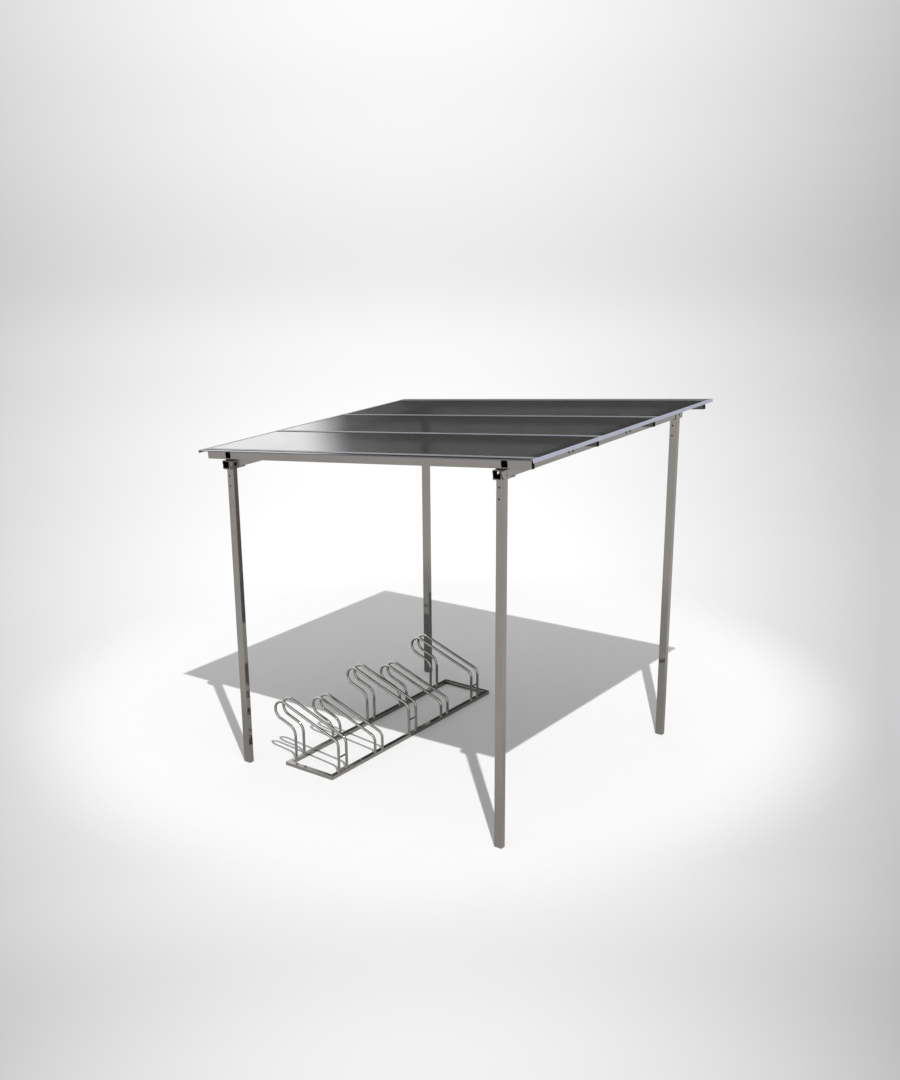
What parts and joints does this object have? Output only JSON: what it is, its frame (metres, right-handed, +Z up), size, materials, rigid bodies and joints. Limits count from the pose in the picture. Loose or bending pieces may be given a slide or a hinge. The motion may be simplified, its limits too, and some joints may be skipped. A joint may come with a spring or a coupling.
{
  "type": "bicycle shelter",
  "caption": "Open bicycle shelter: four metal posts, beams and sloping rafters under a dark mono-pitch roof, with a high-low floor rack.",
  "frame": {"origin": "on the ground at the middle of the object's footprint, which is also the middle of the four posts", "axes": "+X along the open entrance side, +Y from the entrance to the rear, the low side of the roof, +Z up"},
  "size_m": [2.068, 2.4601, 2.3403],
  "materials": {
    "frame_metal": "satin",
    "fastener": "satin",
    "roof_sheet": "gloss",
    "roof_trim": "anodised satin",
    "rack_steel": "bright galvanised"
  },
  "bodies": {
    "root": {"post_front_left": "frame_metal", "post_front_right": "frame_metal", "post_rear_left": "frame_metal", "post_rear_right": "frame_metal", "beam_front": "frame_metal", "beam_rear": "frame_metal", "saddle_front_left": "frame_metal", "saddle_front_right": "frame_metal", "saddle_rear_left": "frame_metal", "saddle_rear_right": "frame_metal", "rafter_1": "frame_metal", "rafter_2": "frame_metal", "rafter_3": "frame_metal", "rafter_4": "frame_metal", "rafter_wedges_front": "frame_metal", "rafter_wedges_rear": "frame_metal", "rafter_bolts_front": "fastener", "rafter_bolts_rear": "fastener", "beam_fixings_front": "fastener", "beam_fixings_rear": "fastener", "roof_panel_1": "roof_sheet", "roof_panel_2": "roof_sheet", "roof_panel_3": "roof_sheet", "cover_strip_1": "roof_trim", "cover_strip_2": "roof_trim", "cover_strip_3": "roof_trim", "cover_strip_4": "roof_trim", "trim_front": "roof_trim", "trim_rear": "roof_trim", "rack_rail_front": "rack_steel", "rack_rail_rear": "rack_steel", "rack_end_left": "rack_steel", "rack_end_right": "rack_steel", "rack_place_1": "rack_steel", "rack_place_2": "rack_steel", "rack_place_3": "rack_steel", "rack_place_4": "rack_steel", "rack_place_5": "rack_steel", "rack_cross_bars": "rack_steel"}
  },
  "joints": []
}
